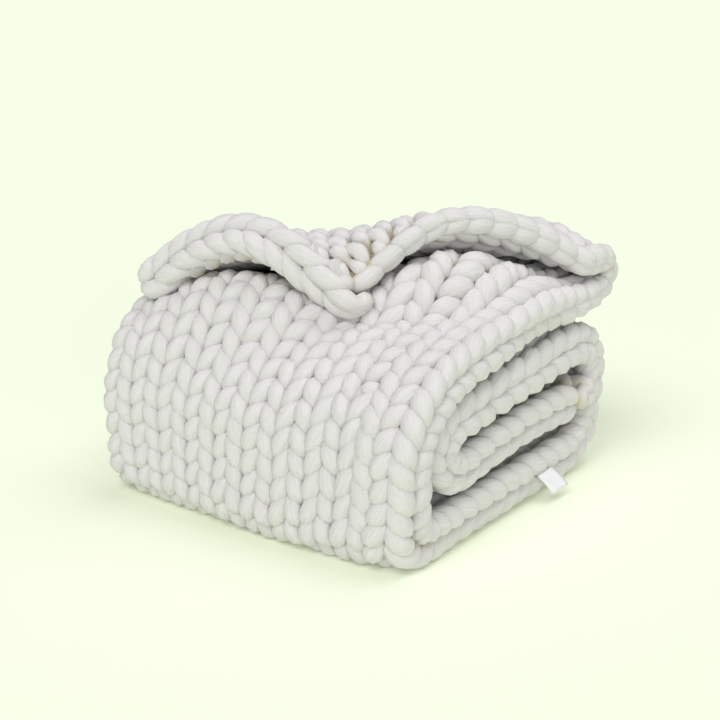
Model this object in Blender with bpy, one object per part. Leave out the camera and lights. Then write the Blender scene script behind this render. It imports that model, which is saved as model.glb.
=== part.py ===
"""Chunky knit throw, folded into a bundle with one corner turned back.

One cloth runs through the whole bundle: it starts inside, turns at the near end, passes back, wraps down the
far side, under, up the front and over the top, and its last run is the flap that lies back over the top.
Metres, z up, the front looks to -y and the layered end to +x.
"""
import math

import bmesh
import bpy
import numpy as np

MM = 0.001

# Driving sizes, in millimetres
BUNDLE_WIDTH = 384.0
WALES = 11
RIB_DEPTH = 6.0
EDGE_HALF = 15.0
GAP = 2.5
FLAP_FAR_Y = 146.0
FLAP_CORNER = (54.0, -84.0)
FLAP_LEFT = (-178.0, -125.0)
FLAP_LEFT_DROOP = 5.0
FLAP_STATIONS = 13
FLAP_HALF = 20.0
END_RIM_HALF = 17.0
SIDE_RIM_HALF = 14.0
END_RIM_LIFT = 52.0
SIDE_RIM_LIFT = 57.0
END_RIM_PEAK = 0.45
END_RIM_FROM = 0.07
SIDE_RIM_PEAK = 0.58
RIM_REACH = 4.0
TOP_SWELL = 0.68
SWELL_END = 1.3
SWELL_EDGE = (1.0, 0.72)
TOP_CORNER_DROP = 8.0
TURN_CORNER_DROP = 12.0
CORNER_THINNING = 0.3
SETTLE_SHARE = 0.28
SETTLE_WIDTH = 0.65
FOOT_SKEW = 8.0
FOOT_FULLNESS = 6.0
SHOULDER_LIFT = 14.0
SHOULDER_PUSH = 3.0
LABEL_THICKNESS = 0.8
ORIGIN = (5.8, 1.35, 0.0)

# The fold seen from the layered end, a row for each bend or stretch of the cloth:
# place, y and z of the middle of the cloth, half thickness to the knit face and to the back, rib share, steps
FOLD = (
    ("inner_start", 136.0, 76.0, 20.0, 20.0, 1.0, 1),
    ("inner_run", 95.0, 78.0, 20.0, 20.0, 1.0, 1),
    ("inner_run", 50.0, 80.0, 20.0, 20.0, 1.0, 1),
    ("inner_run", 0.0, 78.0, 20.0, 20.0, 1.0, 1),
    ("inner_run", -50.0, 74.0, 20.0, 20.0, 1.0, 1),
    ("near_turn", -88.0, 71.0, 20.0, 19.0, 1.0, 2),
    ("near_turn", -115.0, 78.0, 21.0, 18.0, 1.0, 2),
    ("near_turn", -131.0, 100.0, 20.0, 18.0, 1.0, 2),
    ("near_turn", -116.0, 122.0, 19.0, 18.0, 1.0, 2),
    ("middle_run", -88.0, 129.0, 19.0, 19.0, 1.0, 1),
    ("middle_run", -50.0, 133.0, 20.0, 20.0, 1.0, 1),
    ("middle_run", 0.0, 137.0, 20.0, 20.0, 1.0, 1),
    ("middle_run", 55.0, 140.0, 20.0, 20.0, 1.0, 1),
    ("far_side", 105.0, 144.0, 21.0, 20.0, 1.0, 1),
    ("far_side", 137.0, 144.0, 21.0, 19.0, 1.0, 2),
    ("far_side", 165.0, 132.0, 21.0, 19.0, 1.0, 1),
    ("far_side", 177.0, 105.0, 21.0, 19.0, 1.0, 1),
    ("far_side", 172.0, 69.0, 21.0, 19.0, 1.0, 1),
    ("far_side", 160.0, 42.0, 24.0, 19.0, 0.7, 2),
    ("under_run", 126.0, 24.0, 24.0, 19.0, 0.2, 1),
    ("under_run", 78.0, 21.0, 21.0, 20.0, 0.0, 1),
    ("under_run", 0.0, 21.0, 21.0, 20.0, 0.0, 1),
    ("under_run", -75.0, 21.0, 21.0, 20.0, 0.0, 1),
    ("near_foot", -124.0, 23.0, 23.0, 20.0, 0.0, 1),
    ("near_foot", -151.0, 28.0, 31.0, 19.0, 0.3, 1),
    ("near_foot", -166.0, 38.0, 37.0, 19.0, 0.7, 1),
    ("front", -175.0, 58.0, 27.0, 19.0, 1.0, 1),
    ("front", -178.0, 82.0, 22.0, 19.0, 1.0, 1),
    ("front", -178.0, 104.0, 21.0, 20.0, 1.0, 1),
    ("front", -170.0, 125.0, 21.0, 20.0, 1.0, 1),
    ("top_shoulder", -151.0, 148.0, 21.0, 20.0, 1.0, 1),
    ("top_shoulder", -128.0, 163.0, 21.0, 20.0, 1.0, 1),
    ("top_shoulder", -102.0, 173.0, 21.0, 20.0, 1.0, 1),
    ("top_run", -55.0, 182.0, 21.0, 20.0, 1.0, 1),
    ("top_run", -4.0, 188.0, 21.0, 20.0, 1.0, 1),
    ("top_run", 58.0, 189.0, 21.0, 20.0, 1.0, 1),
    ("top_run", 108.0, 192.0, 20.0, 20.0, 1.0, 1),
    ("top_turn", 144.0, 198.0, 19.0, 20.0, 1.0, 2),
    ("top_turn", 174.0, 204.5, 13.0, 20.0, 0.6, 2),
    ("top_turn", 185.0, 221.5, 11.0, 20.0, 0.4, 2),
    ("top_turn", 173.0, 238.5, 13.0, 20.0, 0.6, 2),
    ("flap_start", FLAP_FAR_Y, 242.0, 18.0, 20.0, 1.0, 1),
)

# Sewn label: place of its sewn edge on the lowest layer and of its hanging edge, x y z of both corners
LABEL_EDGES = (
    ("sewn", (192.35, 40.0, 27.5), (192.35, 69.0, 28.5)),
    ("hanging", (206.0, 45.0, 10.0), (206.0, 76.0, 11.0)),
)


def smooth_step(start, end, value):
    """0 up to start, 1 from end on, with a soft change between; start may be the larger of the two."""
    t = min(1.0, max(0.0, (value - start) / (end - start)))
    return t * t * (3.0 - 2.0 * t)


def hump(peak, value):
    """0 at both ends, 1 at peak, round on top."""
    t = value / (2.0 * peak) if value < peak else 0.5 + (value - peak) / (2.0 * (1.0 - peak))
    return math.sin(math.pi * t) ** 1.15


def curve_point(before, start, end, after, t):
    """A smooth curve through start and end that also heeds the rows before and after."""
    start_slope = 0.5 * (end - before)
    end_slope = 0.5 * (after - start)
    return (
        (2 * t**3 - 3 * t**2 + 1) * start
        + (t**3 - 2 * t**2 + t) * start_slope
        + (3 * t**2 - 2 * t**3) * end
        + (t**3 - t**2) * end_slope
    )


def fold_stations():
    """Rows of y, z, knit half, back half and rib share along the fold."""
    rows = [np.array(row[1:6]) for row in FOLD]
    rows = [2 * rows[0] - rows[1]] + rows + [2 * rows[-1] - rows[-2]]
    stations = []
    for index in range(len(FOLD) - 1):
        steps = FOLD[index][6]
        for step in range(steps):
            stations.append(curve_point(*rows[index:index + 4], step / steps))
    stations.append(rows[-2])
    return stations


def top_surface(y):
    """Height of the upper face of the top layer at y."""
    rows = [row for row in FOLD if row[0] in ("top_shoulder", "top_run")]
    return float(np.interp(y, [row[1] for row in rows], [row[2] + row[3] + 1.0 for row in rows]))


def settle(u, y):
    """Share of its height that the pile keeps; the far left corner lies pressed down."""
    left = max(0.0, 1.0 - u / SETTLE_WIDTH) ** 1.1
    return 1.0 - SETTLE_SHARE * left * smooth_step(-80.0, 150.0, y)


def columns():
    """Share of the width for each column of points: the groove and the crest of every wale."""
    return [index / (2.0 * WALES) for index in range(2 * WALES + 1)]


def flap_place(x, y):
    """u and v of the flap straight above a point of the floor."""
    u = 0.5
    for _ in range(12):
        v = (FLAP_FAR_Y - y) / (FLAP_FAR_Y - FLAP_LEFT[1] * (1.0 - u) - FLAP_CORNER[1] * u)
        left = -0.5 * BUNDLE_WIDTH * (1.0 - v) + FLAP_LEFT[0] * v
        right = 0.5 * BUNDLE_WIDTH * (1.0 - v) + FLAP_CORNER[0] * v
        u = (x - left) / (right - left)
    return u, v


def flap_lift(u, v):
    """Height of the flap over the cloth under it, largest at its two rims."""
    risen = max(0.0, (u - END_RIM_FROM) / (1.0 - END_RIM_FROM))
    lift = END_RIM_LIFT * hump(END_RIM_PEAK, risen) * v ** RIM_REACH
    return lift + SIDE_RIM_LIFT * hump(SIDE_RIM_PEAK, v) * u ** RIM_REACH


def top_swell(x, y):
    """How far the top layer rises towards the rims of the flap."""
    u, v = flap_place(x, y)
    beyond = smooth_step(SWELL_END, 1.0, u) * smooth_step(SWELL_END, 1.0, v)
    beyond *= smooth_step(*SWELL_EDGE, x / BUNDLE_WIDTH + 0.5)
    return TOP_SWELL * beyond * flap_lift(min(max(u, 0.0), 1.0), min(max(v, 0.0), 1.0))


def flap_point(u, v):
    """Middle of the cloth on the flap; u runs across the width, v from the far turn to the end rim."""
    far = np.array((BUNDLE_WIDTH * (u - 0.5), FLAP_FAR_Y))
    near = np.array(FLAP_LEFT) * (1.0 - u) + np.array(FLAP_CORNER) * u
    plan = far * (1.0 - v) + near * v
    lift = flap_lift(u, v)
    lift -= FLAP_LEFT_DROOP * smooth_step(0.05, 0.0, u) * v
    half = flap_half(u, v)
    return np.array((plan[0], plan[1], top_surface(plan[1]) + GAP + half + lift))


def flap_half(u, v):
    """Half thickness of the flap, thinner at its two rims."""
    side = smooth_step(0.84, 1.0, u)
    end = smooth_step(0.78, 1.0, v)
    half = FLAP_HALF + (END_RIM_HALF - FLAP_HALF) * end
    return half + (SIDE_RIM_HALF - half) * side


def cloth_grid():
    """Middle points and half thicknesses of the whole cloth, station by station and column by column."""
    middle, knit, back = [], [], []
    stations = fold_stations()
    top_middle = next(i for i, row in enumerate(stations) if row[0] > 50.0 and row[1] > 180.0)
    turn_start = next(i for i, row in enumerate(stations) if row[0] > 140.0 and row[1] > 190.0)
    top_start = sum(row[6] for row in FOLD[:[row[0] for row in FOLD].index("top_shoulder")])
    for number, (y, z, knit_half, back_half, rib) in enumerate(stations):
        end_share = smooth_step(top_middle, turn_start, number)
        turn_share = smooth_step(turn_start, len(stations) - 1, number)
        line, knit_line, back_line = [], [], []
        for column, u in enumerate(columns()):
            corner = smooth_step(0.8, 1.0, u)
            drop = (TOP_CORNER_DROP * end_share + TURN_CORNER_DROP * turn_share) * corner
            thin = 1.0 - CORNER_THINNING * end_share * corner
            groove = RIB_DEPTH * rib if column % 2 == 0 else 0.0
            x = BUNDLE_WIDTH * (u - 0.5)
            swell = top_swell(x, y) if number > top_start and y < FLAP_FAR_Y else 0.0
            line.append((x, y, z - drop + swell))
            knit_line.append((knit_half - groove) * thin)
            back_line.append(back_half * thin)
        middle.append(line)
        knit.append(knit_line)
        back.append(back_line)
    for step in range(1, FLAP_STATIONS + 1):
        v = step / FLAP_STATIONS
        join = 1.0 - smooth_step(0.0, 0.25, v)
        line, knit_line, back_line = [], [], []
        for column, u in enumerate(columns()):
            point = flap_point(u, v)
            point[2] += join * (middle[len(stations) - 1][column][2] - flap_point(u, 0.0)[2])
            half = flap_half(u, v)
            line.append(tuple(point))
            knit_line.append(half - (RIB_DEPTH * 0.6 if column % 2 == 0 else 0.0))
            back_line.append(half)
        middle.append(line)
        knit.append(knit_line)
        back.append(back_line)
    for line in knit + back:
        line[0] = min(line[0], EDGE_HALF)
        line[-1] = min(line[-1], EDGE_HALF)
    middle, knit, back = np.array(middle), np.array(knit), np.array(back)
    for number in range(len(middle)):
        for column, u in enumerate(columns()):
            kept = settle(u, middle[number][column][1])
            near = smooth_step(-60.0, -170.0, middle[number][column][1])
            low = near * smooth_step(150.0, 70.0, middle[number][column][2])
            foot = near * smooth_step(70.0, 30.0, middle[number][column][2])
            shoulder = smooth_step(-60.0, -130.0, middle[number][column][1])
            shoulder *= smooth_step(115.0, 162.0, middle[number][column][2]) * smooth_step(0.42, 0.0, u)
            middle[number][column][1] += FOOT_SKEW * low * smooth_step(0.6, 0.1, u)
            middle[number][column][1] -= SHOULDER_PUSH * shoulder
            middle[number][column][2] += SHOULDER_LIFT * shoulder
            knit[number][column] += FOOT_FULLNESS * foot * hump(0.72, u)
            middle[number][column][2] *= kept
            knit[number][column] *= kept
            back[number][column] *= kept
    return middle, knit, back


def face_normals(middle):
    """Unit vectors towards the knit face of the cloth."""
    along = np.gradient(middle, axis=0)
    across = np.gradient(middle, axis=1)
    normals = np.cross(across, along)
    return normals / np.linalg.norm(normals, axis=2)[:, :, None]


def new_object(name, mesh, material):
    obj = bpy.data.objects.new(name, mesh)
    obj.data.materials.append(material)
    bpy.context.scene.collection.objects.link(obj)
    return obj


def new_material(name, colour, roughness):
    material = bpy.data.materials.new(name)
    material.use_nodes = True
    shader = material.node_tree.nodes["Principled BSDF"]
    shader.inputs["Base Color"].default_value = (*colour, 1.0)
    shader.inputs["Roughness"].default_value = roughness
    shader.inputs["Metallic"].default_value = 0.0
    return material


def skin_rows(bm, rows, flip):
    """Quads between neighbouring rows of points."""
    for lower, upper in zip(rows, rows[1:]):
        for left in range(len(lower) - 1):
            corners = [lower[left], lower[left + 1], upper[left + 1], upper[left]]
            bm.faces.new(corners[::-1] if flip else corners)


def finished_mesh(bm, name, smooth):
    bmesh.ops.recalc_face_normals(bm, faces=bm.faces)
    bmesh.ops.triangulate(bm, faces=bm.faces)
    for face in bm.faces:
        face.smooth = smooth
    mesh = bpy.data.meshes.new(name)
    bm.to_mesh(mesh)
    bm.free()
    return mesh


def place(point):
    """Metres from the origin under the middle of the whole thing."""
    return [(value - zero) * MM for value, zero in zip(point, ORIGIN)]


def build_throw():
    middle, knit, back = cloth_grid()
    normals = face_normals(middle)
    knit_face = middle + normals * knit[:, :, None]
    back_face = middle - normals * back[:, :, None]
    bm = bmesh.new()
    sides = []
    for face in (knit_face, back_face):
        rows = []
        for line in face:
            rows.append([bm.verts.new(place((x, y, max(z, 0.0)))) for x, y, z in line])
        sides.append(rows)
    knit_rows, back_rows = sides
    skin_rows(bm, knit_rows, False)
    skin_rows(bm, back_rows, True)
    left_edge = [[row[0] for row in knit_rows], [row[0] for row in back_rows]]
    right_edge = [[row[-1] for row in knit_rows], [row[-1] for row in back_rows]]
    skin_rows(bm, left_edge, False)
    skin_rows(bm, right_edge, True)
    skin_rows(bm, [knit_rows[0], back_rows[0]], True)
    skin_rows(bm, [knit_rows[-1], back_rows[-1]], False)
    mesh = finished_mesh(bm, "throw", True)
    return new_object("throw", mesh, new_material("wool_knit", (0.86, 0.85, 0.81), 0.85))


def build_label():
    corners = [np.array(point) for _, *points in LABEL_EDGES for point in points]
    sewn_a, sewn_b, hang_a, hang_b = corners
    face = np.cross(sewn_b - sewn_a, hang_a - sewn_a)
    face = face / np.linalg.norm(face) * LABEL_THICKNESS
    if face[0] < 0.0:
        face = -face
    bm = bmesh.new()
    outline = [sewn_a, sewn_b, hang_b, hang_a]
    rings = []
    for offset in (np.zeros(3), face):
        rings.append([bm.verts.new(place(point + offset)) for point in outline])
    bm.faces.new(rings[0])
    bm.faces.new(rings[1][::-1])
    for index in range(4):
        following = (index + 1) % 4
        bm.faces.new([rings[0][index], rings[0][following], rings[1][following], rings[1][index]])
    mesh = finished_mesh(bm, "label", False)
    return new_object("label", mesh, new_material("label_satin", (0.93, 0.93, 0.95), 0.4))


def build():
    for obj in list(bpy.data.objects):
        bpy.data.objects.remove(obj, do_unlink=True)
    build_throw()
    build_label()


build()
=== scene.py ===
"""Chunky knit throw: the stitches, label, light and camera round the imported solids."""

import math
import random

import bmesh
import bpy
import numpy as np
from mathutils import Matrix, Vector


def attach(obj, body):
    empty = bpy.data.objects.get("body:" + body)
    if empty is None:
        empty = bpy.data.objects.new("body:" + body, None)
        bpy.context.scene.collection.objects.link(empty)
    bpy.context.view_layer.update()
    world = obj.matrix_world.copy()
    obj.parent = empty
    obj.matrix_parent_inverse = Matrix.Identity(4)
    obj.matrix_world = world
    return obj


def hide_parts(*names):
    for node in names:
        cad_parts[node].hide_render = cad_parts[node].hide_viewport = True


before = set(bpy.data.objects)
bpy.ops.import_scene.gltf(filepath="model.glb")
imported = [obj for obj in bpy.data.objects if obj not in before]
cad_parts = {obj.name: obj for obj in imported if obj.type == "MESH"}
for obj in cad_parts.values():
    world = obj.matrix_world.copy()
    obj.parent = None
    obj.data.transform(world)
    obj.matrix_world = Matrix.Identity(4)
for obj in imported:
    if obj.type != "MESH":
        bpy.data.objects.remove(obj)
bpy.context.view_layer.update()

MM = 0.001

# Sizes of the cloth, in millimetres. The flap's side rim is a little thinner and higher than in the solids,
# its left edge hangs lower, and the top layer rises a little more
BUNDLE_WIDTH = 384.0
WALES = 11
GAP = 2.5
RIDGE = 1.0
FLAP_FAR_Y = 146.0
FLAP_CORNER = (54.0, -84.0)
FLAP_LEFT = (-178.0, -125.0)
FLAP_LEFT_DROOP = 5.0
DROOP_WIDTH = 0.05
FLAP_LEFT_CLOSING = 7.0
CLOSING_WIDTH = (0.25, 0.05)
CLOSING_REACH = 0.3
FLAP_HALF = 20.0
END_RIM_HALF = 17.0
SIDE_RIM_HALF = 11.0
END_RIM_LIFT = 52.0
SIDE_RIM_LIFT = 66.0
END_RIM_PEAK = 0.45
END_RIM_FROM = 0.07
SIDE_RIM_PEAK = 0.58
RIM_REACH = 4.0
HUMP_POWER = 1.15
SIDE_RIM_FROM = 0.84
END_RIM_THIN_FROM = 0.78
FLAP_JOIN = 0.25
TOP_SWELL = 0.78
SWELL_END = 1.3
SWELL_EDGE = (1.01, 0.76)
SWELL_RISE = (110.0, 175.0)
TOP_CORNER_DROP = 8.0
TURN_CORNER_DROP = 12.0
CORNER_FROM = 0.8
CORNER_THINNING = 0.3
TOP_MIDDLE = (50.0, 180.0)
TOP_TURN_START = (140.0, 190.0)
SETTLE_SHARE = 0.28
SETTLE_WIDTH = 0.65
SETTLE_POWER = 1.1
SETTLE_REACH = (-80.0, 150.0)
NEAR_REACH = (-60.0, -170.0)
LOW_REACH = (150.0, 70.0)
FOOT_REACH = (70.0, 30.0)
FOOT_SKEW = 8.0
SKEW_WIDTH = (0.6, 0.1)
FOOT_FULLNESS = 6.0
FOOT_PEAK = 0.72
SHOULDER_LIFT = 14.0
SHOULDER_PUSH = 3.0
SHOULDER_REACH = (-60.0, -130.0)
SHOULDER_RISE = (115.0, 162.0)
SHOULDER_WIDTH = (0.42, 0.0)
ORIGIN = (5.8, 1.35, 0.0)

# The yarn, in millimetres, and how it lies in the cloth
YARN_RADIUS = 9.4
WALE_PITCH = 35.0
ROW_PITCH = 25.0
BACK_YARN = 0.9
LEAST_SIZE = 0.84
MOST_STRETCH = 1.35
STRETCH_POWER = 0.8
EDGE_SHARE = 0.04
EDGE_WRAP = 2.8
EDGE_REACH = 1.5
EDGE_FULLNESS = 0.12
EDGE_GROWTH = 4.0
EDGE_TUCK = ((14.0, 7.0), (20.5, 3.5))

# How far one stitch may lean, rise and grow beside the next, and from which height its loop is loose
STITCH_LEAN = 0.02
STITCH_RISE = 0.05
STITCH_SIZE = (0.96, 1.05)
LOOSE_HEIGHTS = (-0.9, 0.2)
RANDOM_START = 11

# The bars behind the last rows: rows before the end, and how far they come forward
LAST_BARS = ((0.13, 0.0), (1.12, 0.35))
BAR_END = 0.7
BAR_POINTS = 12
BAR_SIZE = (0.86, 0.16)

# The chain of stitches at each end of the cloth, and its tip at the turned corner
CHAIN_STITCHES = 11
CHAIN_START = 0.035
CHAIN_LENGTH = 0.95
CHAIN_SPREAD = 1.12
CHAIN_HEIGHT = 36.0
CHAIN_DEPTH = 8.0
CHAIN_OUT = 5.0
CHAIN_TILT = 0.35
CHAIN_LEVEL = 14.0
CHAIN_HALF = 20.0
TIP_FROM = 0.4
TIP_CLOSING = 0.75
TIP_STITCHES = 1.6
TIP_RISE = 7.0
TIP_REACH = 26.0

# How finely the cloth and the yarn are divided
SIDES = 8
GRID_STEPS = 6
FLAP_STEPS = 60
GRID_COLUMNS = 25
ROW_SAMPLES = 8
CONTROL_STEPS = 2
LABEL_STEPS = 8
PLACE_ROUNDS = 12

# Columns of the cloth's grid; the table of places keeps all but the last
PLACE = slice(0, 3)
KNIT_HALF = 3
BACK_HALF = 4
ROW_LENGTH = 5

# Further columns of the table of places
ACROSS = slice(5, 8)
ALONG = slice(8, 11)
OUTWARD = slice(11, 14)
STRETCH = 14

# The fold seen from the layered end: place, y and z of the middle, half thickness to the knit face and
# to the back, and the length of a row of stitches on the outside of the bend
FOLD = (
    ("inner_start", 136.0, 76.0, 20.0, 20.0, 29.0),
    ("inner_run", 95.0, 78.0, 20.0, 20.0, 29.0),
    ("inner_run", 50.0, 80.0, 20.0, 20.0, 29.0),
    ("inner_run", 0.0, 78.0, 20.0, 20.0, 29.0),
    ("inner_run", -50.0, 74.0, 20.0, 20.0, 29.0),
    ("near_turn", -88.0, 71.0, 20.0, 19.0, 30.0),
    ("near_turn", -115.0, 78.0, 21.0, 18.0, 30.0),
    ("near_turn", -131.0, 100.0, 20.0, 18.0, 30.0),
    ("near_turn", -116.0, 122.0, 19.0, 18.0, 30.0),
    ("middle_run", -88.0, 129.0, 19.0, 19.0, 31.0),
    ("middle_run", -50.0, 133.0, 20.0, 20.0, 31.0),
    ("middle_run", 0.0, 137.0, 20.0, 20.0, 31.0),
    ("middle_run", 55.0, 140.0, 20.0, 20.0, 31.0),
    ("far_side", 105.0, 144.0, 21.0, 20.0, 28.0),
    ("far_side", 137.0, 144.0, 21.0, 19.0, 28.0),
    ("far_side", 165.0, 132.0, 21.0, 19.0, 28.0),
    ("far_side", 177.0, 105.0, 21.0, 19.0, 28.0),
    ("far_side", 172.0, 69.0, 21.0, 19.0, 28.0),
    ("far_side", 160.0, 42.0, 24.0, 19.0, 28.0),
    ("under_run", 126.0, 24.0, 24.0, 19.0, 27.0),
    ("under_run", 78.0, 21.0, 21.0, 20.0, 27.0),
    ("under_run", 0.0, 21.0, 21.0, 20.0, 27.0),
    ("under_run", -75.0, 21.0, 21.0, 20.0, 27.0),
    ("near_foot", -124.0, 23.0, 23.0, 20.0, 25.0),
    ("near_foot", -151.0, 28.0, 31.0, 19.0, 25.0),
    ("near_foot", -166.0, 38.0, 37.0, 19.0, 25.0),
    ("front", -175.0, 58.0, 27.0, 19.0, 25.0),
    ("front", -178.0, 82.0, 22.0, 19.0, 25.0),
    ("front", -178.0, 104.0, 21.0, 20.0, 25.0),
    ("front", -170.0, 125.0, 21.0, 20.0, 25.0),
    ("top_shoulder", -151.0, 148.0, 21.0, 20.0, 25.0),
    ("top_shoulder", -128.0, 163.0, 21.0, 20.0, 25.0),
    ("top_shoulder", -102.0, 173.0, 21.0, 20.0, 25.0),
    ("top_run", -55.0, 182.0, 21.0, 20.0, 26.0),
    ("top_run", -4.0, 188.0, 21.0, 20.0, 26.0),
    ("top_run", 58.0, 189.0, 21.0, 20.0, 26.0),
    ("top_run", 108.0, 192.0, 20.0, 20.0, 26.0),
    ("top_turn", 144.0, 198.0, 19.0, 20.0, 27.0),
    ("top_turn", 174.0, 204.5, 13.0, 20.0, 27.0),
    ("top_turn", 185.0, 221.5, 11.0, 20.0, 27.0),
    ("top_turn", 173.0, 238.5, 13.0, 20.0, 27.0),
    ("flap_start", FLAP_FAR_Y, 242.0, 18.0, 20.0, 28.0),
)

# Sewn label: its sewn edge and its hanging edge, x y z of both corners
LABEL_EDGES = (
    ("sewn", (190.0, 40.0, 27.5), (190.0, 69.0, 28.5)),
    ("hanging", (206.0, 45.0, 10.0), (206.0, 76.0, 11.0)),
)
LABEL_BULGE = 1.5
LABEL_RIPPLE = 0.4
LABEL_THICKNESS = 0.8

# Finishes and painted shade: colours, roughness, and strength and depth in metres of the bump
WOOL = (0.762, 0.747, 0.746)
# painted shade in the grooves between the yarn's fine strands
WOOL_STRAND_SHADE = (0.66, 0.645, 0.64)
# painted shade: darker and warmer where the yarn lies deep in the cloth, in the gaps between stitches and
# layers
WOOL_PAINTED_DEEP_SHADE = (0.62, 0.55, 0.40)
WOOL_ROUGHNESS = 0.85
WOOL_BUMP = (0.55, 0.0016)
RIBBON = (0.92, 0.92, 0.95)
RIBBON_ROUGHNESS = 0.38
RIBBON_BUMP = (0.2, 0.0002)
RIBBON_WEAVE = 900.0
BACKDROP = (0.93, 1.0, 0.80)
FILL = (1.0, 0.99, 0.98)
FLOOR = (0.85, 0.92, 0.73)
FLOOR_GLOW = (0.118, 0.123, 0.105)

# The wool's noise along the yarn and round it, per millimetre, and where painted shade darkens it between
# the strands and makes it darker and warmer deep in the cloth
BUNDLE_NOISE = (0.020, 0.30, 0.30)
STRAND_NOISE = (0.030, 1.15, 1.15)
STRAND_SHADE_RANGE = (0.30, 0.60, 0.55, 0.0)
DEEP_SHADE_RANGE = (0.20, 0.72, 0.9, 0.0)

# Light: strength of the fill, and strength, angle, azimuth and elevation of each lamp
FILL_STRENGTH = 0.22
LAMPS = (
    ("soft_back_light", 1.25, 50.0, 150.0, 66.0),
    ("soft_top_light", 1.4, 36.0, 2.0, 50.0),
    ("soft_front_light", 0.75, 30.0, 52.0, 12.0),
)

# Camera and floor, in degrees and metres; the lens and the film are in millimetres
CAMERA_AZIMUTH = 35.0
CAMERA_ELEVATION = 17.6
CAMERA_DISTANCE = 1.6
CAMERA_TARGET_HEIGHT = 0.126
LENS = 77.35
FILM_WIDTH = 36.0
FLOOR_SIZE = 60.0

# Half a stitch from its foot to its head: across in wales, along in rows, height from -1 at the back to 1
# at the front, and share of the yarn's thickness
STITCH = (
    ("foot", 0.50, -0.10, -1.00, 1.00),
    ("foot", 0.30, -0.22, -0.80, 0.90),
    ("crossing", 0.13, -0.12, -0.20, 0.58),
    ("leg", 0.10, 0.08, 0.45, 0.56),
    ("leg", 0.15, 0.36, 0.86, 0.86),
    ("leg", 0.23, 0.72, 1.00, 1.06),
    ("leg", 0.31, 1.08, 0.93, 1.06),
    ("leg", 0.39, 1.38, 0.58, 0.88),
    ("crossing", 0.40, 1.54, -0.12, 0.70),
    ("head", 0.27, 1.50, -0.80, 0.92),
    ("head", 0.00, 1.42, -1.00, 1.04),
)

# Knitted pieces and the place in the fold where each starts
KNITTED_PIECES = (
    ("knit_inner_layer", "inner_start"),
    ("knit_middle_layer", "middle_run"),
    ("knit_under_layer", "under_run"),
    ("knit_front", "near_foot"),
    ("knit_top_layer", "top_run"),
    ("knit_turned_flap", "top_turn"),
)


def smooth_step(start, end, value):
    """0 at the start and 1 at the end, with a smooth way between; the start may be the larger one."""
    t = min(1.0, max(0.0, (value - start) / (end - start)))
    return t * t * (3.0 - 2.0 * t)


def hump(peak, value):
    """A rise from 0 to 1 at the peak and back to 0."""
    t = value / (2.0 * peak) if value < peak else 0.5 + (value - peak) / (2.0 * (1.0 - peak))
    return max(0.0, math.sin(math.pi * t)) ** HUMP_POWER


def curve_point(before, start, end, after, t):
    """A point between start and end on the smooth curve through all four."""
    start_slope = 0.5 * (end - before)
    end_slope = 0.5 * (after - start)
    return (
        (2 * t**3 - 3 * t**2 + 1) * start
        + (t**3 - 2 * t**2 + t) * start_slope
        + (3 * t**2 - 2 * t**3) * end
        + (t**3 - t**2) * end_slope
    )


def smooth_line(rows, steps):
    """Steps points from each row of numbers to the next, on a smooth curve, and the last row."""
    rows = [np.array(row) for row in rows]
    rows = [2 * rows[0] - rows[1]] + rows + [2 * rows[-1] - rows[-2]]
    points = []
    for index in range(len(rows) - 3):
        for step in range(steps):
            points.append(curve_point(*rows[index:index + 4], step / steps))
    points.append(rows[-2])
    return points


def top_surface(y):
    """Height of the top layer under the flap."""
    rows = [row for row in FOLD if row[0] in ("top_shoulder", "top_run")]
    return float(np.interp(y, [row[1] for row in rows], [row[2] + row[3] + RIDGE for row in rows]))


def settle(u, y):
    """Share of its thickness that the cloth keeps: the far left corner is pressed down."""
    left = max(0.0, 1.0 - u / SETTLE_WIDTH) ** SETTLE_POWER
    return 1.0 - SETTLE_SHARE * left * smooth_step(*SETTLE_REACH, y)


def flap_half(u, v):
    """Half the thickness of the flap, which is thinner at its two rims."""
    side = smooth_step(SIDE_RIM_FROM, 1.0, u)
    end = smooth_step(END_RIM_THIN_FROM, 1.0, v)
    half = FLAP_HALF + (END_RIM_HALF - FLAP_HALF) * end
    return half + (SIDE_RIM_HALF - half) * side


def flap_place(x, y):
    """u and v of the flap straight above a point of the floor."""
    u = 0.5
    for _ in range(PLACE_ROUNDS):
        v = (FLAP_FAR_Y - y) / (FLAP_FAR_Y - FLAP_LEFT[1] * (1.0 - u) - FLAP_CORNER[1] * u)
        left = -0.5 * BUNDLE_WIDTH * (1.0 - v) + FLAP_LEFT[0] * v
        right = 0.5 * BUNDLE_WIDTH * (1.0 - v) + FLAP_CORNER[0] * v
        u = (x - left) / (right - left)
    return u, v


def flap_lift(u, v):
    """Height of the flap over the cloth under it, largest at its two rims."""
    risen = max(0.0, (u - END_RIM_FROM) / (1.0 - END_RIM_FROM))
    lift = END_RIM_LIFT * hump(END_RIM_PEAK, risen) * v ** RIM_REACH
    return lift + SIDE_RIM_LIFT * hump(SIDE_RIM_PEAK, v) * u ** RIM_REACH


def top_swell(x, y):
    """How far the top layer rises towards the rims of the flap."""
    u, v = flap_place(x, y)
    beyond = smooth_step(SWELL_END, 1.0, u) * smooth_step(SWELL_END, 1.0, v)
    beyond *= smooth_step(*SWELL_EDGE, x / BUNDLE_WIDTH + 0.5)
    return TOP_SWELL * beyond * flap_lift(min(max(u, 0.0), 1.0), min(max(v, 0.0), 1.0))


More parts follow.
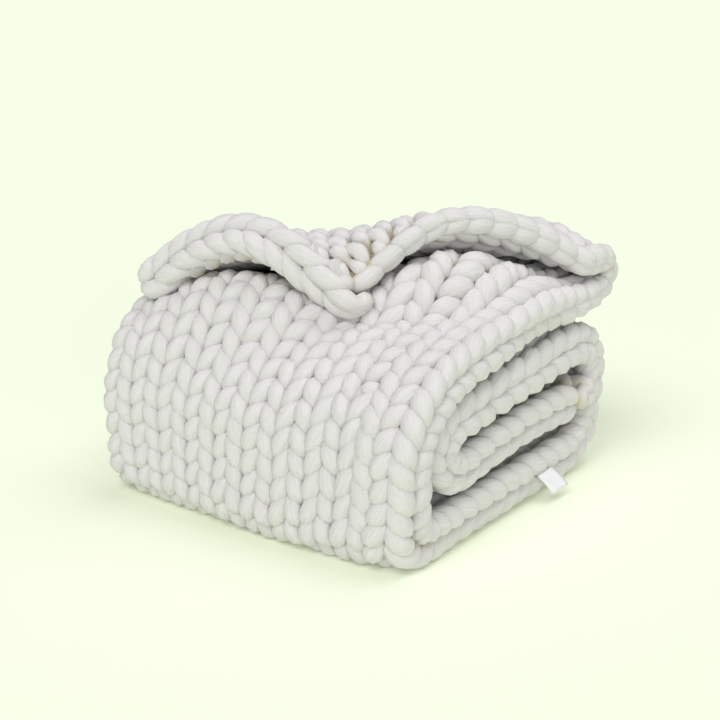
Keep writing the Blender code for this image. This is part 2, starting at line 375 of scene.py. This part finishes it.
def flap_point(u, v):
    """Middle of the flap: u from its left edge to its side rim, v from the far turn to its end rim."""
    far = np.array((BUNDLE_WIDTH * (u - 0.5), FLAP_FAR_Y))
    near = np.array(FLAP_LEFT) * (1.0 - u) + np.array(FLAP_CORNER) * u
    plan = far * (1.0 - v) + near * v
    lift = flap_lift(u, v)
    lift -= FLAP_LEFT_DROOP * smooth_step(DROOP_WIDTH, 0.0, u) * v
    lift -= FLAP_LEFT_CLOSING * smooth_step(*CLOSING_WIDTH, u) * smooth_step(0.0, CLOSING_REACH, v)
    return np.array((plan[0], plan[1], top_surface(plan[1]) + GAP + flap_half(u, v) + lift))


def first_beyond(stations, y, z):
    """Number of the first station past both y and z."""
    return next(i for i, row in enumerate(stations) if row[0] > y and row[1] > z)


def folded_layers(shares):
    """Places, both half thicknesses and row length of the cloth from the inner layer to the far turn."""
    stations = smooth_line([row[1:] for row in FOLD], GRID_STEPS)
    top_middle = first_beyond(stations, *TOP_MIDDLE)
    turn_start = first_beyond(stations, *TOP_TURN_START)
    top_start = next(i for i, row in enumerate(FOLD) if row[0] == "front") * GRID_STEPS
    cloth = []
    for number, (y, z, knit_half, back_half, pitch) in enumerate(stations):
        end_share = smooth_step(top_middle, turn_start, number)
        turn_share = smooth_step(turn_start, len(stations) - 1, number)
        under_flap = top_start < number < turn_start
        line = []
        for u in shares:
            corner = smooth_step(CORNER_FROM, 1.0, u)
            drop = (TOP_CORNER_DROP * end_share + TURN_CORNER_DROP * turn_share) * corner
            thin = 1.0 - CORNER_THINNING * end_share * corner
            x = BUNDLE_WIDTH * (u - 0.5)
            swell = top_swell(x, y) * smooth_step(*SWELL_RISE, z) if under_flap else 0.0
            line.append((x, y, z - drop + swell, knit_half * thin, back_half * thin, pitch))
        cloth.append(line)
    return cloth


def turned_flap(shares, last):
    """The same for the flap, which starts from the last line of the far turn."""
    cloth = []
    for step in range(1, FLAP_STEPS + 1):
        v = step / FLAP_STEPS
        join = 1.0 - smooth_step(0.0, FLAP_JOIN, v)
        line = []
        for column, u in enumerate(shares):
            x, y, z = flap_point(u, v)
            z += join * (last[column][2] - flap_point(u, 0.0)[2])
            half = flap_half(u, v)
            line.append((x, y, z, half, half, FOLD[-1][5]))
        cloth.append(line)
    return cloth


def cloth_grid():
    """The whole cloth, station by station and column by column, with its foot, shoulder and low corner."""
    shares = np.linspace(0.0, 1.0, GRID_COLUMNS)
    layers = folded_layers(shares)
    cloth = np.array(layers + turned_flap(shares, layers[-1]))
    for line in cloth:
        for point, u in zip(line, shares):
            kept = settle(u, point[1])
            near = smooth_step(*NEAR_REACH, point[1])
            low = near * smooth_step(*LOW_REACH, point[2])
            foot = near * smooth_step(*FOOT_REACH, point[2])
            shoulder = smooth_step(*SHOULDER_REACH, point[1])
            shoulder *= smooth_step(*SHOULDER_RISE, point[2]) * smooth_step(*SHOULDER_WIDTH, u)
            point[1] += FOOT_SKEW * low * smooth_step(*SKEW_WIDTH, u)
            point[KNIT_HALF] += FOOT_FULLNESS * foot * hump(FOOT_PEAK, u)
            point[1] -= SHOULDER_PUSH * shoulder
            point[2] += SHOULDER_LIFT * shoulder
            point[2:5] *= kept
    return cloth


def unit(vectors):
    """The vectors, each one unit long."""
    return vectors / np.maximum(np.linalg.norm(vectors, axis=-1), 1e-9)[..., None]


def directions(cloth):
    """Unit vectors across the cloth, along it and towards its knit face."""
    across = unit(np.gradient(cloth[:, :, PLACE], axis=1))
    along = unit(np.gradient(cloth[:, :, PLACE], axis=0))
    return across, along, unit(np.cross(across, along))


class Cloth:
    """Looks up a place on the folded cloth from wales across and rows along."""

    def __init__(self):
        cloth = cloth_grid()
        normal = directions(cloth)[2]
        steps = []
        for half in (cloth[:, :, KNIT_HALF], -cloth[:, :, BACK_HALF]):
            face = cloth[:, :, PLACE] + normal * half[:, :, None]
            steps.append(np.linalg.norm(np.diff(face, axis=0), axis=2))
        steps = np.maximum(*steps) / cloth[1:, :, ROW_LENGTH]
        counts = np.concatenate([np.zeros((1, cloth.shape[1])), np.cumsum(steps, axis=0)])
        self.rows = int(round(counts[-1].mean()))
        counts *= self.rows / counts[-1]
        wanted = np.linspace(0.0, self.rows, self.rows * ROW_SAMPLES + 1)
        even = np.zeros((len(wanted), cloth.shape[1], ROW_LENGTH))
        for column in range(cloth.shape[1]):
            for value in range(ROW_LENGTH):
                even[:, column, value] = np.interp(wanted, counts[:, column], cloth[:, column, value])
        spread = np.linalg.norm(np.gradient(even[:, :, PLACE], axis=1), axis=2)
        stretch = spread * (GRID_COLUMNS - 1.0) / BUNDLE_WIDTH
        self.values = np.concatenate([even, *directions(even), stretch[:, :, None]], axis=2)
        middle = counts[:, cloth.shape[1] // 2]
        self.starts = {}
        for number, row in enumerate(FOLD):
            self.starts.setdefault(row[0], middle[number * GRID_STEPS])

    def read(self, share, row):
        """A line of the table at a share of the width and a row; past its ends the cloth runs straight."""
        rows, columns = self.values.shape[:2]
        i = np.clip(row * ROW_SAMPLES, 0.0, rows - 1.001)
        j = np.clip(share * (columns - 1), 0.0, columns - 1.001)
        i0, j0 = i.astype(int), j.astype(int)
        fi, fj = (i - i0)[:, None], (j - j0)[:, None]
        v = self.values
        low = v[i0, j0] * (1 - fj) + v[i0, j0 + 1] * fj
        high = v[i0 + 1, j0] * (1 - fj) + v[i0 + 1, j0 + 1] * fj
        out = low * (1 - fi) + high * fi
        beyond = np.minimum(row, 0.0) + np.maximum(row - self.rows, 0.0)
        out[:, PLACE] += unit(out[:, ALONG]) * (beyond * ROW_PITCH)[:, None]
        return out

    def width(self, row):
        """Straight distance from one edge of the cloth to the other."""
        zero = np.zeros(len(row))
        ends = self.read(zero + 1.0, row)[:, PLACE] - self.read(zero, row)[:, PLACE]
        return np.linalg.norm(ends, axis=1)

    def place(self, wale, row, height):
        """Where the yarn's middle lies at a wale, a row and a height of -1 at the back to 1 at the front.

        The result is the points, the way out of the cloth, how far out they lie, half the cloth's thickness
        and the size of the yarn. The first and last wale wrap round the edge of the cloth.
        """
        read = self.read(np.clip(wale / WALES, EDGE_SHARE, 1.0 - EDGE_SHARE), row)
        half = 0.5 * (read[:, KNIT_HALF] + read[:, BACK_HALF])
        radius = half - np.interp(half, *zip(*EDGE_TUCK))
        width = self.width(row)
        margin = (radius + YARN_RADIUS) / width
        share = margin + (1.0 - 2.0 * margin) * np.clip((wale - 1.0) / (WALES - 2.0), 0.0, 1.0)
        read = self.read(share, row)
        knit = read[:, KNIT_HALF] - YARN_RADIUS
        back = read[:, BACK_HALF] - YARN_RADIUS * BACK_YARN
        level = np.where(height >= 0.0, height * knit, height * back)
        side = np.where(wale > WALES - 1.0, wale - (WALES - 1.0), np.minimum(wale - 1.0, 0.0))
        centre = knit - radius
        angle = side * EDGE_WRAP
        reach = np.where(side == 0.0, level - centre, np.maximum(level - centre, EDGE_REACH))
        across, normal = read[:, ACROSS], unit(read[:, OUTWARD])
        out = centre + reach * np.cos(angle)
        over = reach * np.sin(angle)
        points = read[:, PLACE] + across * over[:, None] + normal * out[:, None]
        outward = unit(across * np.sin(angle)[:, None] + normal * np.cos(angle)[:, None])
        pitch = width * (1.0 - 2.0 * margin) / (WALES - 2.0)
        size = np.clip(pitch / WALE_PITCH, LEAST_SIZE, 1.0)
        size = size + EDGE_FULLNESS * np.clip(EDGE_GROWTH * np.abs(side), 0.0, 1.0)
        size *= np.clip(read[:, STRETCH], 1.0, MOST_STRETCH) ** STRETCH_POWER
        how_far = np.where(side == 0.0, level, reach)
        thickness = np.where(level >= 0.0, read[:, KNIT_HALF], read[:, BACK_HALF])
        return points, outward, how_far, thickness, size

    def rim(self, along, across, height, end):
        """The same for the chain of stitches that closes an end of the cloth; end is 1 or -1."""
        share = CHAIN_START + CHAIN_LENGTH * np.clip(along / CHAIN_STITCHES, 0.0, 1.0) ** CHAIN_SPREAD
        row = np.full(len(share), self.rows if end > 0 else 0.0)
        read = self.read(share, row)
        out_of = unit(read[:, ALONG]) * end
        normal = unit(read[:, OUTWARD])
        facing = unit(out_of * math.cos(CHAIN_TILT) - normal * math.sin(CHAIN_TILT))
        upward = unit(np.cross(facing, read[:, ACROSS])) * end
        points = read[:, PLACE] + facing * (CHAIN_OUT + CHAIN_DEPTH * height)[:, None]
        closing = 1.0 - TIP_CLOSING * np.clip(along - CHAIN_STITCHES + TIP_FROM, 0.0, 1.0)
        tip = np.clip(along / TIP_STITCHES - (CHAIN_STITCHES - TIP_STITCHES) / TIP_STITCHES, 0.0, 1.0)
        points[:, 2] += TIP_RISE * tip
        points += upward * (across * closing * CHAIN_HEIGHT)[:, None]
        beyond = np.maximum(along - CHAIN_STITCHES, 0.0) * (TIP_REACH if end > 0 else 0.0)
        points += read[:, ACROSS] * beyond[:, None]
        ones = np.ones(len(share))
        return points, facing, ones * CHAIN_LEVEL, ones * CHAIN_HALF, ones


def half_stitch(centre, side, lean, rise, size):
    """Controls of half a stitch from its foot to its head: wale, row, height and width share."""
    controls = []
    for _, across, along, height, width in STITCH:
        loose = smooth_step(*LOOSE_HEIGHTS, height)
        controls.append((centre + side * across + lean * loose, along + rise * loose, height, width * size))
    return controls


def stitch_controls(first, last, rng):
    """Controls along the yarn of stitches first to last, side by side."""
    controls = []
    for number in range(first, last):
        lean = rng.uniform(-STITCH_LEAN, STITCH_LEAN)
        rise = rng.uniform(-STITCH_RISE, STITCH_RISE)
        size = rng.uniform(*STITCH_SIZE)
        controls += half_stitch(number + 0.5, -1.0, lean, rise, size)
        controls += half_stitch(number + 0.5, 1.0, lean, rise, size)[-2:0:-1]
    controls.append((last, *STITCH[0][2:]))
    return np.array(smooth_line(controls, CONTROL_STEPS))


def strand_mesh(name, strands):
    """Round yarn along each line of points, as one mesh, from a curve with a round bevel."""
    curve = bpy.data.curves.new(name, "CURVE")
    curve.dimensions = "3D"
    curve.bevel_depth = 1.0
    curve.bevel_resolution = (SIDES - 4) // 2
    curve.twist_mode = "MINIMUM"
    for points, *_, radii in strands:
        spline = curve.splines.new("POLY")
        spline.points.add(len(points) - 1)
        places = (points - np.array(ORIGIN)) * MM
        spline.points.foreach_set("co", np.column_stack([places, np.ones(len(points))]).ravel())
        spline.points.foreach_set("radius", radii * MM)
        spline.use_smooth = True
    holder = bpy.data.objects.new(name + "_line", curve)
    bpy.context.scene.collection.objects.link(holder)
    shaped = holder.evaluated_get(bpy.context.evaluated_depsgraph_get())
    mesh = bpy.data.meshes.new_from_object(shaped)
    mesh.name = name
    bpy.data.objects.remove(holder, do_unlink=True)
    return mesh


def mark_strands(mesh, strands):
    """Keeps how far along the yarn and round it each point lies, and how deep it is in the cloth.

    Points below the floor are brought up to it.
    """
    middles = np.concatenate([strand[0] for strand in strands])
    outwards = np.concatenate([strand[1] for strand in strands])
    levels = np.concatenate([strand[2] for strand in strands])
    halves = np.concatenate([strand[3] for strand in strands])
    lengths = []
    for points, *_ in strands:
        steps = np.linalg.norm(np.diff(points, axis=0), axis=1)
        lengths.append(np.concatenate([[0.0], np.cumsum(steps)]))
    places = np.zeros(len(mesh.vertices) * 3)
    mesh.vertices.foreach_get("co", places)
    places = places.reshape(-1, SIDES, 3)
    spokes = places / MM + np.array(ORIGIN) - middles[:, None, :]
    depth = np.abs(levels[:, None] + np.einsum("ijk,ik->ij", spokes, outwards)) / halves[:, None]
    turns = np.arange(SIDES) * (2.0 * math.pi / SIDES)
    radii = np.linalg.norm(spokes, axis=2)
    along = np.repeat(np.concatenate(lengths), SIDES)
    side, rise = radii * np.cos(turns), radii * np.sin(turns)
    strand_table = np.column_stack([along, side.ravel(), rise.ravel()])
    kept = mesh.attributes.new("along_yarn", "FLOAT_VECTOR", "POINT")
    kept.data.foreach_set("vector", strand_table.ravel())
    # the depth sets where the painted warm shade falls deep in the cloth
    kept = mesh.attributes.new("depth", "FLOAT", "POINT")
    kept.data.foreach_set("value", depth.ravel())
    places = places.reshape(-1, 3)
    places[:, 2] = np.maximum(places[:, 2], 0.0)
    mesh.vertices.foreach_set("co", places.ravel())


def close_ends(mesh, ring_counts):
    """A face over each end of each strand."""
    bm = bmesh.new()
    bm.from_mesh(mesh)
    bm.verts.ensure_lookup_table()
    start = 0
    for count in ring_counts:
        end = start + count * SIDES
        bm.faces.new(bm.verts[start:start + SIDES])
        bm.faces.new(bm.verts[end - SIDES:end])
        start = end
    bmesh.ops.recalc_face_normals(bm, faces=bm.faces)
    bm.to_mesh(mesh)
    bm.free()


def finish_piece(obj, node):
    """Puts a piece on its body and hides the solid that it stands for."""
    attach(obj, "root")
    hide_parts(node)


def add_yarn(name, strands, material):
    """One knitted piece from its strands."""
    mesh = strand_mesh(name, strands)
    mesh.materials.clear()
    mesh.materials.append(material)
    mesh.shade_smooth()
    mark_strands(mesh, strands)
    close_ends(mesh, [len(points) for points, *_ in strands])
    piece = bpy.data.objects.new(name, mesh)
    bpy.context.scene.collection.objects.link(piece)
    finish_piece(piece, "throw")


def knitted_rows(cloth, first, last, rng):
    """One strand for each row, across all wales."""
    strands = []
    for row in range(first, last):
        line = stitch_controls(0, WALES, rng)
        *values, size = cloth.place(line[:, 0], line[:, 1] + row, line[:, 2])
        strands.append((*values, line[:, 3] * YARN_RADIUS * size))
    return strands


def last_bars(cloth):
    """The bars behind the last two rows, which the chain picks up."""
    strands = []
    wale = np.linspace(BAR_END, WALES - BAR_END, BAR_POINTS * WALES)
    wave = np.cos(2.0 * math.pi * wale)
    for before_end, rise in LAST_BARS:
        row = np.full(len(wale), cloth.rows - before_end)
        *values, size = cloth.place(wale, row, rise * (1.0 - wave) - 1.0)
        strands.append((*values, (BAR_SIZE[0] + BAR_SIZE[1] * wave) * YARN_RADIUS * size))
    return strands


def chained_rim(cloth, end, rng):
    """The chain of stitches along an end of the cloth, one strand for each stitch."""
    strands = last_bars(cloth) if end > 0 else []
    for number in range(CHAIN_STITCHES):
        line = stitch_controls(0, 1, rng)
        *values, size = cloth.rim(line[:, 1] + number, line[:, 0] - 0.5, line[:, 2], end)
        strands.append((*values, line[:, 3] * YARN_RADIUS * size))
    return strands


def new_material(name, colour, roughness):
    """A plain material, its node tree and its shader."""
    material = bpy.data.materials.new(name)
    material.use_nodes = True
    shader = material.node_tree.nodes["Principled BSDF"]
    shader.inputs["Base Color"].default_value = (*colour, 1.0)
    shader.inputs["Roughness"].default_value = roughness
    shader.inputs["Metallic"].default_value = 0.0
    return material, material.node_tree, shader


def add_noise(tree, vector, scale, detail):
    """Noise on a stretched vector; its value is 0 to 1."""
    mapping = tree.nodes.new("ShaderNodeMapping")
    mapping.inputs["Scale"].default_value = scale
    noise = tree.nodes.new("ShaderNodeTexNoise")
    noise.inputs["Scale"].default_value = 1.0
    noise.inputs["Detail"].default_value = detail
    tree.links.new(vector, mapping.inputs["Vector"])
    tree.links.new(mapping.outputs["Vector"], noise.inputs["Vector"])
    return noise.outputs["Fac"]


def add_sum(tree, first, second):
    node = tree.nodes.new("ShaderNodeMath")
    node.operation = "ADD"
    tree.links.new(first, node.inputs[0])
    tree.links.new(second, node.inputs[1])
    return node.outputs["Value"]


def add_range(tree, value, low, high, to_low, to_high):
    """The value, smoothly brought from the range low to high into the range to_low to to_high."""
    node = tree.nodes.new("ShaderNodeMapRange")
    node.interpolation_type = "SMOOTHSTEP"
    tree.links.new(value, node.inputs["Value"])
    for name, number in (("From Min", low), ("From Max", high), ("To Min", to_low), ("To Max", to_high)):
        node.inputs[name].default_value = number
    return node.outputs["Result"]


def add_mix(tree, factor, first, second):
    """Two colours, mixed; either is a colour or a socket. The node takes its colours in at 6 and 7."""
    node = tree.nodes.new("ShaderNodeMix")
    node.data_type = "RGBA"
    tree.links.new(factor, node.inputs["Factor"])
    for socket, value in ((node.inputs[6], first), (node.inputs[7], second)):
        if isinstance(value, tuple):
            socket.default_value = (*value, 1.0)
        else:
            tree.links.new(value, socket)
    return node.outputs[2]


def add_bump(tree, shader, height, strength, distance):
    bump = tree.nodes.new("ShaderNodeBump")
    bump.inputs["Strength"].default_value = strength
    bump.inputs["Distance"].default_value = distance
    tree.links.new(height, bump.inputs["Height"])
    tree.links.new(bump.outputs["Normal"], shader.inputs["Normal"])


def yarn_material():
    """Loose wool: fine strands along the yarn, with painted shade between them, and painted warm shade deep
    in the cloth.

    The noise runs on millimetres along the yarn and round it, so it is stretched along the yarn.
    """
    material, tree, shader = new_material("thick_wool_yarn", WOOL, WOOL_ROUGHNESS)
    strand = tree.nodes.new("ShaderNodeAttribute")
    strand.attribute_name = "along_yarn"
    depth = tree.nodes.new("ShaderNodeAttribute")
    depth.attribute_name = "depth"
    bundles = add_noise(tree, strand.outputs["Vector"], BUNDLE_NOISE, 1.0)
    strands = add_noise(tree, strand.outputs["Vector"], STRAND_NOISE, 2.0)
    add_bump(tree, shader, add_sum(tree, bundles, strands), *WOOL_BUMP)
    # painted shade in the grooves between the strands, where the strand bump is low
    between = add_range(tree, strands, *STRAND_SHADE_RANGE)
    strand_shaded = add_mix(tree, between, WOOL, WOOL_STRAND_SHADE)
    # painted warm shade where the yarn lies deep in the cloth
    deep = add_range(tree, depth.outputs["Fac"], *DEEP_SHADE_RANGE)
    tree.links.new(add_mix(tree, deep, strand_shaded, WOOL_PAINTED_DEEP_SHADE), shader.inputs["Base Color"])
    shader.inputs["Sheen Weight"].default_value = 0.2
    shader.inputs["Sheen Roughness"].default_value = 0.5
    shader.inputs["Subsurface Weight"].default_value = 0.15
    shader.inputs["Subsurface Radius"].default_value = (1.0, 0.95, 0.85)
    shader.inputs["Subsurface Scale"].default_value = 0.008
    return material


def label_material():
    """Satin ribbon: a fine weave that only catches the light."""
    material, tree, shader = new_material("white_satin_ribbon", RIBBON, RIBBON_ROUGHNESS)
    place = tree.nodes.new("ShaderNodeTexCoord")
    weave = tree.nodes.new("ShaderNodeTexWave")
    weave.bands_direction = "Z"
    weave.inputs["Scale"].default_value = RIBBON_WEAVE
    weave.inputs["Distortion"].default_value = 0.6
    tree.links.new(place.outputs["Object"], weave.inputs["Vector"])
    add_bump(tree, shader, weave.outputs["Fac"], *RIBBON_BUMP)
    return material


def build_label():
    """A bare ribbon sewn in between two stitches of the lowest layer; it hangs a little off the edge."""
    bm = bmesh.new()
    bmesh.ops.create_grid(bm, x_segments=LABEL_STEPS, y_segments=LABEL_STEPS, size=0.5)
    sewn, hanging = [[Vector(point) for point in points] for _, *points in LABEL_EDGES]
    for vert in bm.verts:
        side = vert.co.x + 0.5
        down = 0.5 - vert.co.y
        point = sewn[0].lerp(sewn[1], side).lerp(hanging[0].lerp(hanging[1], side), down)
        ripple = LABEL_RIPPLE * math.sin(3.0 * math.pi * side) * down
        point.x += LABEL_BULGE * math.sin(math.pi * down) + ripple
        vert.co = (point - Vector(ORIGIN)) * MM
    mesh = bpy.data.meshes.new("side_label")
    bmesh.ops.recalc_face_normals(bm, faces=bm.faces)
    bm.to_mesh(mesh)
    bm.free()
    mesh.shade_smooth()
    label = bpy.data.objects.new("side_label", mesh)
    bpy.context.scene.collection.objects.link(label)
    mesh.materials.append(label_material())
    wall = label.modifiers.new("ribbon", "SOLIDIFY")
    wall.thickness = LABEL_THICKNESS * MM
    wall.offset = 0.0
    finish_piece(label, "label")


def build_throw():
    cloth = Cloth()
    rng = random.Random(RANDOM_START)
    wool = yarn_material()
    starts = [round(cloth.starts[place]) for _, place in KNITTED_PIECES] + [cloth.rows - 1]
    for (name, _), first, last in zip(KNITTED_PIECES, starts, starts[1:]):
        add_yarn(name, knitted_rows(cloth, first, last, rng), wool)
    add_yarn("bound_off_rim", chained_rim(cloth, 1, rng), wool)
    add_yarn("cast_on_rim", chained_rim(cloth, -1, rng), wool)


def away_from_throw(azimuth, elevation):
    """Unit vector from the throw; azimuth 0 points to the front and 90 to the layered end."""
    side, rise = math.radians(azimuth), math.radians(elevation)
    return Vector((math.sin(side) * math.cos(rise), -math.cos(side) * math.cos(rise), math.sin(rise)))


def add_lamp(name, strength, angle, azimuth, elevation):
    lamp = bpy.data.lights.new(name, "SUN")
    lamp.energy = strength
    lamp.angle = math.radians(angle)
    holder = bpy.data.objects.new(name, lamp)
    holder.rotation_euler = away_from_throw(azimuth, elevation).to_track_quat("Z", "Y").to_euler()
    bpy.context.scene.collection.objects.link(holder)


def build_light():
    """A soft fill, a pale backdrop that only the camera sees, and three wide lamps."""
    world = bpy.data.worlds.new("studio")
    bpy.context.scene.world = world
    world.use_nodes = True
    tree = world.node_tree
    fill = tree.nodes["Background"]
    fill.inputs["Color"].default_value = (*FILL, 1.0)
    fill.inputs["Strength"].default_value = FILL_STRENGTH
    backdrop = tree.nodes.new("ShaderNodeBackground")
    backdrop.inputs["Color"].default_value = (*BACKDROP, 1.0)
    seen = tree.nodes.new("ShaderNodeLightPath")
    mix = tree.nodes.new("ShaderNodeMixShader")
    tree.links.new(seen.outputs["Is Camera Ray"], mix.inputs["Fac"])
    tree.links.new(fill.outputs["Background"], mix.inputs[1])
    tree.links.new(backdrop.outputs["Background"], mix.inputs[2])
    tree.links.new(mix.outputs["Shader"], tree.nodes["World Output"].inputs["Surface"])
    for name, strength, angle, azimuth, elevation in LAMPS:
        add_lamp(name, strength, angle, azimuth, elevation)


def build_floor():
    bpy.ops.mesh.primitive_plane_add(size=FLOOR_SIZE, location=(0.0, 0.0, 0.0))
    floor = bpy.context.object
    floor.name = "floor"
    material, _, shader = new_material("pale_floor", FLOOR, 1.0)
    shader.inputs["Emission Color"].default_value = (*FLOOR_GLOW, 1.0)
    shader.inputs["Emission Strength"].default_value = 1.0
    floor.data.materials.append(material)


def build_camera():
    camera = bpy.data.cameras.new("camera")
    camera.lens = LENS
    camera.sensor_width = FILM_WIDTH
    camera.clip_end = 100.0
    obj = bpy.data.objects.new("camera", camera)
    bpy.context.scene.collection.objects.link(obj)
    bpy.context.scene.camera = obj
    back = away_from_throw(CAMERA_AZIMUTH, CAMERA_ELEVATION)
    target = Vector((-ORIGIN[0] * MM, -ORIGIN[1] * MM, CAMERA_TARGET_HEIGHT))
    obj.location = target + back * CAMERA_DISTANCE
    obj.rotation_euler = back.to_track_quat("Z", "Y").to_euler()


build_throw()
build_label()
build_light()
build_floor()
build_camera()
bpy.context.scene.view_settings.view_transform = "Standard"
